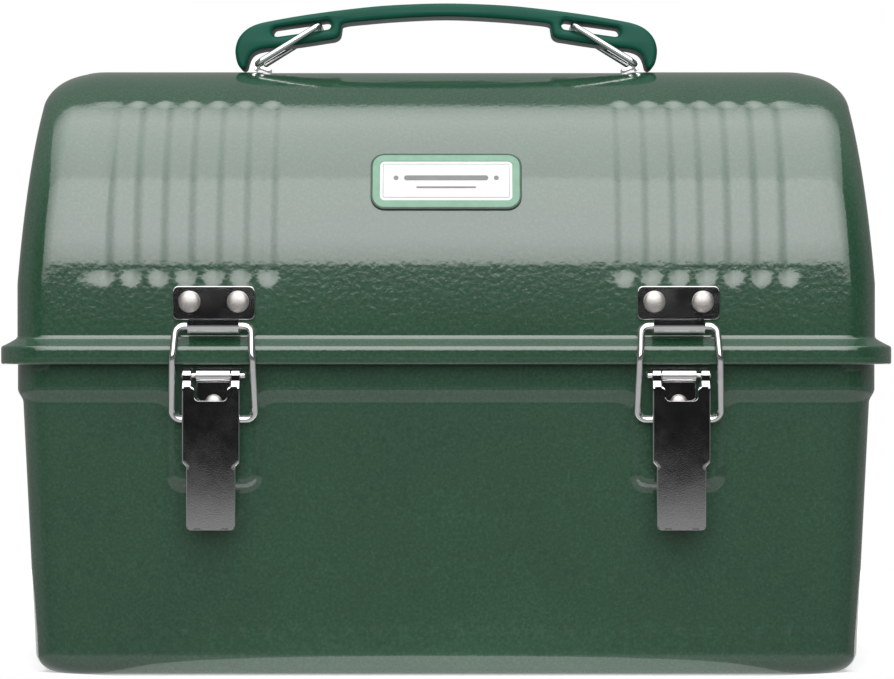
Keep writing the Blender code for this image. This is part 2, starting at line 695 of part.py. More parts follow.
def badge_panel(width, height, radius):
    """The curved plate, lofted from its lower edge to its upper one."""
    corner = []
    for degrees in (0, 30, 60, 90):
        a = math.radians(degrees)
        corner.append((width / 2 - radius * (1 - math.sin(a)), height / 2 - radius * (1 - math.cos(a))))
    rows = [(half, -v) for half, v in corner] + [(half, v) for half, v in corner[::-1]]
    rings = []
    for half, v in rows:
        a = math.radians(BADGE_ANGLE) - v / DOME_RADIUS
        ring = []
        for lift, side in ((GAP, -1), (GAP, 1), (0.0010, 1), (0.0010, -1)):
            reach = DOME_RADIUS + lift
            ring.append((side * half, -reach * math.sin(a), DOME_AXIS_Z + reach * math.cos(a)))
        rings.append(ring)
    return loft(rings)


# ---- bottle retainer inside the lid ----
def build_retainer(finish):
    front, back = RETAINER_Y
    z = RETAINER_Z
    corners = [
        (-RETAINER_X + 0.0050, back, z), (-RETAINER_X - 0.0060, back, z), (-RETAINER_X - 0.0060, front, z),
        (RETAINER_X + 0.0060, front, z), (RETAINER_X + 0.0060, back, z), (RETAINER_X - 0.0050, back, z),
    ]
    path = rounded_path(corners, [0.0, 0.0040, 0.0060, 0.0060, 0.0040, 0.0], steps=3)
    add_solid("bottle_bail", *swept_tube(path, 0.0015), finish["chrome"], (0, back, z), 60)
    wall = WALL_HALF[1] - SHEET - GAP - PLATE / 2
    mean = 0.0015 + GAP + PLATE / 2
    for tag, hand in (("left", -1), ("right", 1)):
        line = [(wall, z - 0.0120), (wall, z - mean), (back, z - mean), *arc_points((back, z), mean, 250, 20, 7)]
        low, high = sorted((hand * (RETAINER_X - 0.0035), hand * (RETAINER_X + 0.0010)))
        add_solid(f"retainer_clip_{tag}", *extrude_yz(strip_outline(line, PLATE), low, high), finish["chrome"])
    line = [(-wall, z + 0.0020), (-wall, z - 0.0040), (front - 0.0030, z - 0.0040), (front, z - 0.0028), (front + 0.0040, z - 0.0040)]
    add_solid("retainer_catch", *extrude_yz(strip_outline(line, PLATE), -0.0060, 0.0060), finish["chrome"])


def main():
    clear_scene()
    finish = finishes()
    build_tub(finish)
    build_lid(finish)
    for tag, x in (("left", -LATCH_X), ("right", LATCH_X)):
        build_keeper(tag, x, finish)
        build_latch_base(tag, x, finish)
        build_lever(tag, x, finish)
        build_bail(tag, x, finish)
        build_hinge(tag, x, finish)
    build_handle(finish)
    build_badge(finish)
    build_retainer(finish)


main()
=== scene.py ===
"""Looks of the steel lunch box: fine drawn shells, plated hardware, moulded grip and a generic badge.

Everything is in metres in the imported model's frame. The camera stands level in front of the latches.
"""

import json
import math

import bmesh
import bpy
import numpy as np
from mathutils import Matrix, Vector


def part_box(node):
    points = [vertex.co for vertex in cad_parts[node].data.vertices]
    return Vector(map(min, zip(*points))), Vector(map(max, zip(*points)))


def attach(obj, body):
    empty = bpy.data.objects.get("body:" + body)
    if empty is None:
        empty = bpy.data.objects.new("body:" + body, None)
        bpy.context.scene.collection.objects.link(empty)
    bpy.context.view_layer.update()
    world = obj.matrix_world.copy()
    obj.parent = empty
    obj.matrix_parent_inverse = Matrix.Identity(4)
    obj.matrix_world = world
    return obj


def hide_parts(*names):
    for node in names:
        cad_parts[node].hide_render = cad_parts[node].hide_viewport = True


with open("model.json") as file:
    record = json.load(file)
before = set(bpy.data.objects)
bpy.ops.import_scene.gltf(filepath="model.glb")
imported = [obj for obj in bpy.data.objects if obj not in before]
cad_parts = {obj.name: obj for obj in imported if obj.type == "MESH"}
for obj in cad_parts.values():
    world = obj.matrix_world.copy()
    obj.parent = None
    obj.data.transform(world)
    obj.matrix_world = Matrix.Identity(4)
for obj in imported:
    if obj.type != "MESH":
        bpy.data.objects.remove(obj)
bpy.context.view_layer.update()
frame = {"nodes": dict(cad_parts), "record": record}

JOINTS = {joint["name"]: joint for joint in frame["record"]["behaviour"]["joints"]}
SLOTS = {part["node"]: part["material_slot"] for part in frame["record"]["subparts"]}

# ---- shell sizes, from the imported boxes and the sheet's own form ----
SHEET = 0.0008
LID_LOW, LID_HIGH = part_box("lid_shell")
BEAD_HALF = (LID_HIGH[0], LID_HIGH[1])
BEAD_LOW = LID_LOW[2]
CROWN = LID_HIGH[2]
BEAD_CORNER = 0.0195
OVERHANG = 0.0060
WALL_HALF = (BEAD_HALF[0] - OVERHANG, BEAD_HALF[1] - OVERHANG)
WALL_CORNER = 0.0135
DOME_RADIUS = WALL_HALF[1]
DOME_AXIS = CROWN - DOME_RADIUS
WALL_FOOT = BEAD_LOW + 0.0096
END_LEAN = 0.0901
LEAN_FROM = 0.1450
END_FILLET = (0.0186, 0.0170)

TUB_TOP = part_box("tub")[1][2]
HEM_HALF = (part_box("tub")[1][0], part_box("tub")[1][1])
STEP_MIDDLE = 0.1037
STEP_IN = 0.0020
TUB_DRAFT = 0.0442
FLOOR_EDGE = 0.0080
TUB_CORNER = 0.0130

FLUTE_PITCH = 0.01006
FLUTE_WIDTH = 0.0090
LID_FLUTES = range(6, 13)
TUB_FLUTES = range(13)
LATCH_FLUTES = range(6, 11)
LID_FLUTE_DEPTH = 0.00050
TUB_FLUTE_DEPTH = 0.00024
LID_FLUTE_TOP = math.radians(36.0)
LID_FLUTE_FOOT = 0.1450
TUB_FLUTE_SPAN = (0.0154, 0.0920)
LATCH_FLUTE_TOP = 0.0618
LATCH_X = JOINTS["lever_right_pivot"]["pos_m"][0]
PIN_Y, PIN_Z = JOINTS["lever_right_pivot"]["pos_m"][1:]
BAR_Y = -0.0796
PLATE = 0.0010
EAR_RADIUS = 0.0021
EAR_WIDTH = 0.0032
LEVER_FACE = -0.0840
LEVER_TOP = 0.1070
LEVER_STEP = 0.0785
NOTCH = (0.00605, 0.1017)
HOOK_BOTTOM = 0.1263
HOOK_LIP = 0.1311
HOOK_HALF = 0.00945
ROLL_HALF = 0.0063
ROLL_RADIUS = 0.0021
LEVER_HALVES = (0.0106, 0.0091)
LINK_WIRE = 0.00115
LINK_HEAD_X = 0.0493
SLOT_ENDS = (0.0447, 0.0675)
SLOT_HALF = 0.0018
SLOT_SLOPE = 0.143
BOSS_HALF = 0.01555
BOSS_LOW = 0.0707

CAMERA_DISTANCE = 1.250
CAMERA_LENS = 128.8
FLOOR_RADIUS = 0.33
FLOOR_BACK = 0.57
FLOOR_GLOW = 0.42
SOFTBOX_WIDTH = 2.9
SOFTBOX_HALF = [(0.0, 0.35), (0.16, 0.55), (0.30, 0.85), (0.42, 1.08)]
SOFTBOX_ACROSS = SOFTBOX_HALF + [(0.58, 1.08), (0.70, 0.85), (0.84, 0.55), (1.0, 0.35)]


# ---- small helpers ----
def smoothstep(low, high, value):
    t = np.clip((value - low) / (high - low), 0.0, 1.0)
    return t * t * (3 - 2 * t)


def mesh_piece(name, verts, faces, material, body, angle=40, closed=True):
    """A smooth-shaded piece from points and faces, riding on a body."""
    mesh = bpy.data.meshes.new(name)
    mesh.from_pydata([tuple(v) for v in verts], [], faces)
    work = bmesh.new()
    work.from_mesh(mesh)
    bmesh.ops.remove_doubles(work, verts=work.verts, dist=1e-6)
    bmesh.ops.dissolve_degenerate(work, edges=work.edges, dist=1e-7)
    if closed:
        bmesh.ops.recalc_face_normals(work, faces=work.faces)
    work.to_mesh(mesh)
    work.free()
    mesh.shade_smooth()
    if angle:
        mesh.set_sharp_from_angle(angle=math.radians(angle))
    mesh.materials.append(material)
    obj = bpy.data.objects.new(name, mesh)
    bpy.context.scene.collection.objects.link(obj)
    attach(obj, body)
    return obj


def ring_faces(rows, count, closed_rows=False):
    faces = []
    total = rows if closed_rows else rows - 1
    for i in range(total):
        low = i * count
        high = (i + 1) % rows * count
        for j in range(count):
            k = (j + 1) % count
            faces.append((low + j, low + k, high + k, high + j))
    return faces


def tube(points, radius, sides=16, closed=False):
    """Round wire along a path of closely spaced points, with caps when it is open."""
    path = [Vector(p) for p in points]
    total = len(path)
    verts = []
    side = None
    for i, point in enumerate(path):
        before = path[(i - 1) % total] if closed or i else point
        after = path[(i + 1) % total] if closed or i < total - 1 else point
        along = (after - before).normalized()
        if side is None:
            side = along.orthogonal().normalized()
        side = (side - along * side.dot(along)).normalized()
        other = along.cross(side)
        for j in range(sides):
            a = math.tau * j / sides
            verts.append(point + radius * (math.cos(a) * side + math.sin(a) * other))
    faces = ring_faces(total, sides, closed)
    if not closed:
        faces.append(tuple(range(sides))[::-1])
        faces.append(tuple(range(len(verts) - sides, len(verts))))
    return verts, faces


def rounded_path(corners, radii, steps=8, closed=False):
    """A path through the corners, each turned on an arc of its own radius."""
    total = len(corners)
    path = []
    for i, (corner, radius) in enumerate(zip(corners, radii)):
        point = Vector(corner)
        if not closed and i in (0, total - 1):
            path.append(point)
            continue
        into = (Vector(corners[i - 1]) - point).normalized()
        out = (Vector(corners[(i + 1) % total]) - point).normalized()
        turn = into.angle(out)
        reach = radius / math.tan(turn / 2)
        middle = point + (into + out).normalized() * radius / math.sin(turn / 2)
        first = point + into * reach - middle
        last = point + out * reach - middle
        spread = first.angle(last)
        for k in range(steps + 1):
            t = k / steps
            arm = (math.sin((1 - t) * spread) * first + math.sin(t * spread) * last) / math.sin(spread)
            path.append(middle + arm)
    return path


# ---- materials ----
class Nodes:
    """A new node material with a few short ways to add and join nodes."""

    def __init__(self, name):
        self.material = bpy.data.materials.new(name)
        self.material.use_nodes = True
        self.tree = self.material.node_tree
        self.shader = self.tree.nodes["Principled BSDF"]
        self.coords = self.add("ShaderNodeTexCoord").outputs["Object"]

    def add(self, kind, **settings):
        node = self.tree.nodes.new(kind)
        for key, value in settings.items():
            setattr(node, key, value)
        return node

    def join(self, source, target):
        self.tree.links.new(source, target)

    def noise(self, scale, detail=3.0, roughness=0.5):
        node = self.add("ShaderNodeTexNoise")
        node.inputs["Scale"].default_value = scale
        node.inputs["Detail"].default_value = detail
        node.inputs["Roughness"].default_value = roughness
        self.join(self.coords, node.inputs["Vector"])
        return node.outputs["Fac"]

    def ramp(self, source, stops):
        node = self.add("ShaderNodeValToRGB")
        while len(node.color_ramp.elements) < len(stops):
            node.color_ramp.elements.new(0.5)
        for element, (place, color) in zip(node.color_ramp.elements, stops):
            element.position = place
            element.color = (*color, 1.0)
        self.join(source, node.inputs["Fac"])
        return node.outputs["Color"]

    def spread(self, source, low, high):
        node = self.add("ShaderNodeMapRange")
        node.inputs["To Min"].default_value = low
        node.inputs["To Max"].default_value = high
        self.join(source, node.inputs["Value"])
        return node.outputs["Result"]

    def bump(self, source, strength, distance, under=None):
        node = self.add("ShaderNodeBump")
        node.inputs["Strength"].default_value = strength
        node.inputs["Distance"].default_value = distance
        self.join(source, node.inputs["Height"])
        if under is not None:
            self.join(under, node.inputs["Normal"])
        return node.outputs["Normal"]

    def feed(self, **sources):
        for key, source in sources.items():
            self.join(source, self.shader.inputs[key.replace("_", " ")])

    def fix(self, **values):
        for key, value in values.items():
            self.shader.inputs[key.replace("_", " ")].default_value = value


def enamel_material():
    """Glossy hammertone enamel: metal flake mottling under a rippled clear skin."""
    n = Nodes("hammertone_enamel")
    flake = n.noise(900.0, 4.0, 0.75)
    cloud = n.noise(28.0, 3.0, 0.55)
    greens = [(0.30, (0.018, 0.057, 0.030)), (0.52, (0.026, 0.078, 0.043)), (0.74, (0.046, 0.110, 0.067))]
    flake_color = n.ramp(flake, greens)
    cloud_color = n.ramp(cloud, [(0.30, (0.90, 0.90, 0.90)), (0.70, (1.0, 1.0, 1.0))])
    mix = n.add("ShaderNodeMix", data_type="RGBA", blend_type="MULTIPLY")
    mix.inputs["Factor"].default_value = 1.0
    n.join(flake_color, mix.inputs["A"])
    n.join(cloud_color, mix.inputs["B"])
    n.feed(Base_Color=mix.outputs["Result"], Roughness=n.spread(flake, 0.42, 0.60))
    peel = n.bump(n.noise(520.0, 2.0, 0.45), 0.26, 0.00014)
    fine = n.bump(flake, 0.20, 0.00005, peel)
    n.feed(Normal=fine, Coat_Normal=peel)
    n.fix(Metallic=0.0, Coat_Weight=1.0, Coat_Roughness=0.10, Coat_IOR=1.9, Specular_IOR_Level=0.05)
    return n.material


def plated_material():
    """Bright plated steel with faint drawing lines and handling haze."""
    n = Nodes("plated_steel")
    haze = n.noise(160.0, 4.0, 0.6)
    n.feed(Base_Color=n.ramp(haze, [(0.25, (0.74, 0.74, 0.75)), (0.75, (0.86, 0.86, 0.86))]))
    n.feed(Roughness=n.spread(haze, 0.03, 0.09))
    n.feed(Normal=n.bump(n.noise(2200.0, 3.0, 0.6), 0.10, 0.00003))
    n.fix(Metallic=1.0)
    return n.material


def rivet_material():
    n = Nodes("satin_rivet")
    grain = n.noise(1500.0, 3.0, 0.6)
    n.feed(Base_Color=n.ramp(grain, [(0.3, (0.42, 0.40, 0.38)), (0.7, (0.60, 0.575, 0.55))]))
    n.feed(Roughness=n.spread(grain, 0.38, 0.50), Normal=n.bump(grain, 0.15, 0.00004))
    n.fix(Metallic=1.0)
    return n.material


def grip_material():
    """Semi-gloss moulded plastic with a fine spark-eroded grain."""
    n = Nodes("moulded_grip")
    grain = n.noise(1400.0, 3.0, 0.6)
    tone = n.noise(40.0, 2.0, 0.5)
    n.feed(Base_Color=n.ramp(tone, [(0.3, (0.004, 0.074, 0.046)), (0.7, (0.006, 0.088, 0.057))]))
    n.feed(Roughness=n.spread(grain, 0.30, 0.44), Normal=n.bump(grain, 0.18, 0.00006))
    n.fix(Specular_IOR_Level=0.16)
    return n.material


def printed_material(name, low, high, roughness):
    n = Nodes(name)
    tone = n.noise(260.0, 3.0, 0.6)
    n.feed(Base_Color=n.ramp(tone, [(0.3, low), (0.7, high)]))
    n.feed(Roughness=n.spread(tone, roughness - 0.05, roughness + 0.05))
    n.feed(Normal=n.bump(n.noise(700.0, 2.0, 0.5), 0.06, 0.00005))
    return n.material


MATERIALS = {
    "enamel": enamel_material(),
    "chrome": plated_material(),
    "rivet": rivet_material(),
    "grip": grip_material(),
    "mint": printed_material("mint_enamel", (0.155, 0.315, 0.215), (0.195, 0.365, 0.255), 0.30),
    "white": printed_material("white_enamel", (0.70, 0.705, 0.70), (0.74, 0.74, 0.735), 0.30),
    "ink": printed_material("grey_ink", (0.16, 0.17, 0.165), (0.21, 0.22, 0.215), 0.40),
    # painted shadow: this dark green stands for the shadow gap round the badge
    "edge": printed_material("painted_shadow_gap", (0.020, 0.045, 0.032), (0.035, 0.065, 0.048), 0.40),
}


# ---- drawn shells ----
def run_samples(limit, fine_spans, fine=0.0009, coarse=0.0045):
    """Places along a straight wall, close together inside the spans and sparse elsewhere."""
    places = [-limit]
    while places[-1] < limit:
        here = places[-1]
        near = any(low - fine <= abs(here) <= high for low, high in fine_spans)
        places.append(here + (fine if near else coarse))
    places[-1] = limit
    if limit - places[-2] < 0.4 * fine:
        places.pop(-2)
    return np.array(places)


class Plan:
    """Points round a rounded rectangle, kept in the same order for every size of it."""

    def __init__(self, fine_spans, half, corner):
        self.front = run_samples(half[0] - corner, fine_spans) / (half[0] - corner)
        self.end = np.linspace(-1, 1, 27)
        self.turn = np.linspace(0, 1, 12)

    def ring(self, half_x, half_y, radius):
        """(points, outward normals) for the outline of this size, front run first."""
        radius = min(radius, half_y)
        flat_x = half_x - radius
        flat_y = half_y - radius
        points = []
        normals = []
        runs = (
            (self.front * flat_x, np.full(len(self.front), -half_y), 0.0, -1.0),
            (np.full(len(self.end), half_x), self.end * flat_y, 1.0, 0.0),
            (-self.front * flat_x, np.full(len(self.front), half_y), 0.0, 1.0),
            (np.full(len(self.end), -half_x), -self.end * flat_y, -1.0, 0.0),
        )
        centres = ((flat_x, -flat_y), (flat_x, flat_y), (-flat_x, flat_y), (-flat_x, -flat_y))
        for quarter, ((xs, ys, nx, ny), (cx, cy)) in enumerate(zip(runs, centres)):
            points.append(np.stack([xs, ys], 1))
            normals.append(np.tile((nx, ny), (len(xs), 1)))
            a = math.radians(-90 + 90 * quarter) + self.turn[1:-1] * math.pi / 2
            arc = np.stack([np.cos(a), np.sin(a)], 1)
            points.append(np.array((cx, cy)) + radius * arc)
            normals.append(arc)
        return np.concatenate(points), np.concatenate(normals)


def lid_half_width(z):
    shoulder = CROWN - END_FILLET[1]
    if z <= shoulder:
        return WALL_HALF[0] - max(0.0, z - LEAN_FROM) * END_LEAN
    base = WALL_HALF[0] - (shoulder - LEAN_FROM) * END_LEAN - END_FILLET[0]
    rise = min(1.0, (z - shoulder) / END_FILLET[1])
    return base + END_FILLET[0] * math.sqrt(max(0.0, 1 - rise * rise))


def flute_relief(x, s, indices, s_low, s_high, depth):
    """Relief of shallow round-ended flutes at points (x, s), s being the distance along the wall."""
    relief = np.zeros_like(x)
    half = FLUTE_WIDTH / 2
    for index in indices:
        centre = (index + 0.5) * FLUTE_PITCH
        across = np.abs(np.abs(x) - centre)
        beyond = np.maximum(np.maximum(s_low + half - s, s - (s_high - half)), 0.0)
        away = np.minimum(np.hypot(across, beyond * 0.72) / half, 1.0)
        relief = np.minimum(relief, -depth * (0.5 + 0.5 * np.cos(math.pi * away)))
    return relief


def bead_profile():
    """(inset from the bead's outer line, height above its lip, corner radius) from the lip up to the wall."""
    rows = [
        (0.0008, 0.0), (0.0004, 0.0001), (0.0001, 0.0004), (0.0, 0.0009), (0.0, 0.0030), (0.0, 0.0050),
        (0.0000, 0.0058), (0.0001, 0.0062), (0.0003, 0.0065), (0.0007, 0.0068), (0.0012, 0.0070),
        (0.0028, 0.0078), (0.0044, 0.0087), (0.0052, 0.0092), (0.0057, 0.0096),
        (OVERHANG, 0.0102), (OVERHANG, 0.0107), (OVERHANG, 0.0113),
    ]
    shrink = (BEAD_CORNER - WALL_CORNER) / OVERHANG
    return [(inset, BEAD_LOW + rise, BEAD_CORNER - shrink * inset) for inset, rise in rows]


def crown_panel_relief(x, s_from_crown):
    """A very shallow pressed lens under the handle."""
    reach = 0.0335 * np.sqrt(np.clip(1 - (x / 0.0745) ** 2, 0.0, 1.0))
    edge = np.abs(s_from_crown) - reach
    inside = 1 - smoothstep(-0.0022, 0.0016, edge)
    return -0.00030 * inside * smoothstep(0.078, 0.066, np.abs(x))


def grid_piece(name, sections, material, body, node):
    """A thin skin from its outer sections (points, normals): the inner side is offset by the sheet."""
    outer = [points for points, _ in sections]
    inner = [points - SHEET * normals for points, normals in sections]
    rows = outer + inner[::-1]
    count = len(outer[0])
    verts = np.concatenate(rows)
    total = len(outer)
    faces = []
    for i in range(2 * total):
        if i == total - 1:
            continue
        low = i * count
        high = (i + 1) % (2 * total) * count
        for j in range(count):
            k = (j + 1) % count
            faces.append((low + j, low + k, high + k, high + j))
    piece = mesh_piece(name, verts, faces, material, body, angle=50)
    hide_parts(node)


def lid_sections():
    spans = [(0.0610, 0.1310)]
    plan = Plan(spans, WALL_HALF, WALL_CORNER)
    sections = []
    steps = []
    for inset, z, corner in bead_profile():
        steps.append((BEAD_HALF[0] - inset, BEAD_HALF[1] - inset, corner, z))
    for z in np.linspace(WALL_FOOT + 0.0040, DOME_AXIS - 0.0008, 22):
        steps.append((lid_half_width(z), WALL_HALF[1], WALL_CORNER, z))
    fine = np.arange(52.6, 54.4, 0.45)
    coarse = np.arange(0, 50.1, 2.5)
    middle = np.arange(50.0, 55.2, 0.5)
    top = np.concatenate([np.arange(56, 84, 2.0), np.arange(84, 90.01, 1.0)])
    degrees = np.unique(np.concatenate([coarse, fine, middle, top]))
    for angle in np.radians(degrees):
        z = DOME_AXIS + DOME_RADIUS * math.sin(angle)
        steps.append((lid_half_width(z), DOME_RADIUS * math.cos(angle), WALL_CORNER, z))
    arc = DOME_RADIUS * math.pi / 2
    for half_x, half_y, corner, z in steps:
        xy, flat = plan.ring(half_x, half_y, corner)
        rise = 0.0 if z <= DOME_AXIS else math.asin(min(1.0, (z - DOME_AXIS) / DOME_RADIUS))
        along = DOME_RADIUS * rise if rise else z - DOME_AXIS
        facing = np.abs(flat[:, 1])
        up = math.sin(rise) * facing
        normals = np.stack([flat[:, 0], flat[:, 1] * math.cos(rise), up], 1)
        normals /= np.linalg.norm(normals, axis=1)[:, None]
        points = np.column_stack([xy, np.full(len(xy), z)])
        if z > WALL_FOOT + 0.0035:
            s = np.full(len(xy), along)
            low = LID_FLUTE_FOOT - DOME_AXIS
            high = DOME_RADIUS * (math.pi / 2 - LID_FLUTE_TOP)
            relief = flute_relief(xy[:, 0], s, LID_FLUTES, low, high, LID_FLUTE_DEPTH)
            relief = relief + crown_panel_relief(xy[:, 0], s - arc)
            points = points + normals * (relief * smoothstep(0.95, 1.0, facing))[:, None]
        sections.append((points, normals))
    return sections


def tub_inset(z):
    """Inset of the wall from the upper band where nothing is pressed out."""
    return STEP_IN + (STEP_MIDDLE - 0.0028 - z) * TUB_DRAFT


def raised_share(x, z, front):
    """1 on the upper band and, on the front, on the two latch pads; 0 on the drawn-in wall."""
    band = STEP_MIDDLE - z
    side = np.abs(np.abs(x) - LATCH_X) - BOSS_HALF
    below = BOSS_LOW - z
    corner = 0.0045
    pad = np.hypot(np.maximum(side + corner, 0), np.maximum(below + corner, 0)) - corner
    pad = pad + np.minimum(np.maximum(side + corner, below + corner), 0.0)
    pad = np.where(front, pad, 1.0)
    soft = 0.0060
    blend = np.clip(0.5 + 0.5 * (band - pad) / soft, 0, 1)
    away = band * (1 - blend) + pad * blend - soft * blend * (1 - blend)
    return 1 - smoothstep(-0.0022, 0.0026, away)


def tub_sections():
    plan = Plan([(0.0, 0.1325)], WALL_HALF, TUB_CORNER)
    levels = []
    for degrees in np.linspace(90, 0, 9):
        a = math.radians(degrees)
        levels.append((FLOOR_EDGE * (1 - math.sin(a)), FLOOR_EDGE * (1 - math.cos(a))))
    heights = np.concatenate([
        np.arange(0.0095, 0.0145, 0.0016), np.arange(0.0150, 0.0200, 0.0008), np.arange(0.0225, 0.0560, 0.0045),
        np.arange(0.0572, 0.0630, 0.0008), np.arange(0.0645, 0.0755, 0.0010), np.arange(0.0780, 0.0865, 0.0030),
        np.arange(0.0878, 0.0930, 0.0008), np.arange(0.0945, 0.1090, 0.0009), (0.1120, 0.1150),
    ])
    levels += [(z, 0.0) for z in heights]
    sections = []
    for z, edge in levels:
        wall = WALL_HALF[0] - tub_inset(min(z, STEP_MIDDLE)) - edge
        xy, flat = plan.ring(wall, WALL_HALF[1] - tub_inset(min(z, STEP_MIDDLE)) - edge, TUB_CORNER)
        full = tub_inset(min(z, STEP_MIDDLE))
        front = flat[:, 1] < -0.5
        share = raised_share(xy[:, 0], np.full(len(xy), z), front)
        lift = np.where(z > FLOOR_EDGE, share * full, 0.0)
        front_back = np.abs(flat[:, 1]) > 0.98
        s = np.full(len(xy), z)
        usual = flute_relief(xy[:, 0], s, TUB_FLUTES, *TUB_FLUTE_SPAN, TUB_FLUTE_DEPTH)
        cut = [index for index in TUB_FLUTES if index not in LATCH_FLUTES]
        short = flute_relief(xy[:, 0], s, cut, *TUB_FLUTE_SPAN, TUB_FLUTE_DEPTH)
        low = flute_relief(xy[:, 0], s, LATCH_FLUTES, TUB_FLUTE_SPAN[0], LATCH_FLUTE_TOP, TUB_FLUTE_DEPTH)
        relief = np.where(front, np.minimum(short, low), usual) * front_back
        points = np.column_stack([xy + flat * (lift + relief)[:, None], np.full(len(xy), z)])
        down = 1 - min(1.0, z / FLOOR_EDGE)
        normals = np.column_stack([flat * math.sqrt(max(0.0, 1 - down**2)), np.full(len(xy), -down)])
        sections.append((points, normals))
    return sections, plan


def build_lid():
    """The lid's skin, open below, its bead rolled round the tub's hem."""
    grid_piece("lid_skin", lid_sections(), MATERIALS["enamel"], "lid", "lid_shell")


def build_tub():
    """The tub skin with its floor, and the rolled hem hidden inside the lid's bead."""
    sections, plan = tub_sections()
    outer = [points for points, _ in sections]
    hem = []
    top = TUB_TOP
    depth = HEM_HALF[0] - WALL_HALF[0]
    for out, z in (
        (0.0, top - 0.0055), (0.25, top - 0.0049), (0.75, top - 0.0046), (1.0, top - 0.0038),
        (1.0, top - 0.0016), (0.75, top - 0.0005), (0.35, top - 0.00005), (0.0, top), (-0.25, top - 0.0005),
    ):
        xy, _ = plan.ring(WALL_HALF[0] + out * depth, WALL_HALF[1] + out * depth, TUB_CORNER + out * depth)
        hem.append(np.column_stack([xy, np.full(len(xy), z)]))
    inner = [points - SHEET * normals for points, normals in sections]
    rows = outer + hem + inner[::-1]
    count = len(rows[0])
    verts = np.concatenate(rows)
    faces = ring_faces(len(rows), count)
    faces.append(tuple(range(count))[::-1])
    faces.append(tuple(range(len(verts) - count, len(verts))))
    piece = mesh_piece("tub_skin", verts, faces, MATERIALS["enamel"], "tub", angle=50)
    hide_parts("tub")


# ---- wires ----
def wire_piece(name, path, radius, node, body, closed=False, sides=18):
    verts, faces = tube(path, radius, sides, closed)
    piece = mesh_piece(name, verts, faces, MATERIALS["chrome"], body, angle=60)
    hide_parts(node)


def build_bail(tag):
    pivot = JOINTS[f"bail_{tag}_pivot"]["pos_m"]
    low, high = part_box(f"bail_{tag}")
    x = pivot[0]
    wire = pivot[2] - low[2]
    foot = (high[0] - low[0]) / 2 - wire
    bow = low[1] + wire
    bar = (BAR_Y, high[2] - wire)
    half_route = [
        ((0.0099, pivot[1], pivot[2]), 0.0), ((foot, pivot[1], pivot[2]), 0.0034),
        ((0.0147, bow, 0.1170), 0.0045), ((0.0143, bow, 0.1195), 0.0045), ((0.0138, *bar), 0.0034),
    ]
    corners = [((x + px, py, pz), r) for (px, py, pz), r in half_route]
    corners += [((x - px, py, pz), r) for (px, py, pz), r in half_route[::-1]]
    path = rounded_path([c for c, _ in corners], [r for _, r in corners])
    wire_piece(f"bail_wire_{tag}", path, wire, f"bail_{tag}", f"bail_{tag}")


def build_link(tag, hand):
    foot = JOINTS[f"link_{tag}_pivot"]["pos_m"]
    low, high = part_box(f"link_{tag}")
    radius = LINK_WIRE
    half = high[1] - radius
    head_x = hand * (min(abs(low[0]), abs(high[0])) + radius)
    head_z = high[2] - radius
    ends = [(foot[0], foot[2]), (head_x, head_z)]
    corners = [(x, -half, z) for x, z in ends] + [(x, half, z) for x, z in ends[::-1]]
    path = rounded_path(corners, [0.0021] * 4, closed=True)
    wire_piece(f"link_wire_{tag}", path, radius, f"link_{tag}", f"link_{tag}", True)


def build_bottle_bail():
    pivot = JOINTS["bottle_bail_pivot"]["pos_m"]
    low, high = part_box("bottle_bail")
    radius = 0.0015
    half = high[0] - radius
    front = low[1] + radius
    back, z = pivot[1], pivot[2]
    tip = half - 0.0110
    plan = [(-tip, back), (-half, back), (-half, front), (half, front), (half, back), (tip, back)]
    corners = [(x, y, z) for x, y in plan]
    path = rounded_path(corners, [0.0, 0.0040, 0.0060, 0.0060, 0.0040, 0.0])
    wire_piece("bottle_wire", path, radius, "bottle_bail", "bottle_bail")


# ---- latch plates ----
def yz_path(corners, radii, steps=10):
    return [(p.y, p.z) for p in rounded_path([(0, y, z) for y, z in corners], radii, steps)]


def arc(centre, radius, start, end, steps):
    points = []
    for i in range(steps + 1):
        a = math.radians(start + (end - start) * i / steps)
        points.append((centre[0] + radius * math.cos(a), centre[1] + radius * math.sin(a)))
    return points


def strip_section(half_width, half_thick, corner, steps=4):
    """A rounded rectangle as (across, out) pairs."""
    loop = []
    for sx, sn, start in ((1, 1, 0), (-1, 1, 90), (-1, -1, 180), (1, -1, 270)):
        for k in range(steps + 1):
            a = math.radians(start + 90 * k / steps)
            across = sx * (half_width - corner) + corner * math.cos(a)
            loop.append((across, sn * (half_thick - corner) + corner * math.sin(a)))
    return loop


def bent_strip(x, half_width, line, thickness, edge=0.00026):
    """Sheet bent along a (y, z) line, its long edges and both its ends rounded."""
    points = [Vector(p) for p in line]
    start = (points[1] - points[0]).normalized()
    finish = (points[-1] - points[-2]).normalized()
    rows = []
    for share in (1.0, 0.7, 0.3, 0.0):
        rows.append((points[0] + start * edge * (1 - math.sqrt(1 - share * share)), start, share))
    for before, here, after in zip(points, points[1:], points[2:]):
        rows.append((here, (after - before).normalized(), 0.0))
    for share in (0.0, 0.3, 0.7, 1.0):
        rows.append((points[-1] - finish * edge * (1 - math.sqrt(1 - share * share)), finish, share))
    verts = []
    for place, along, share in rows:
        out = Vector((-along.y, along.x))
        shrink = edge * share * 0.99
        corner = edge * (1 - 0.98 * share)
        for across, lift in strip_section(half_width - shrink, thickness / 2 - shrink, corner):
            spot = place + out * lift
            verts.append((x + across, spot.x, spot.y))
    count = len(verts) // len(rows)
    faces = ring_faces(len(rows), count)
    faces.append(tuple(range(count))[::-1])
    faces.append(tuple(range(len(verts) - count, len(verts))))
    return verts, faces


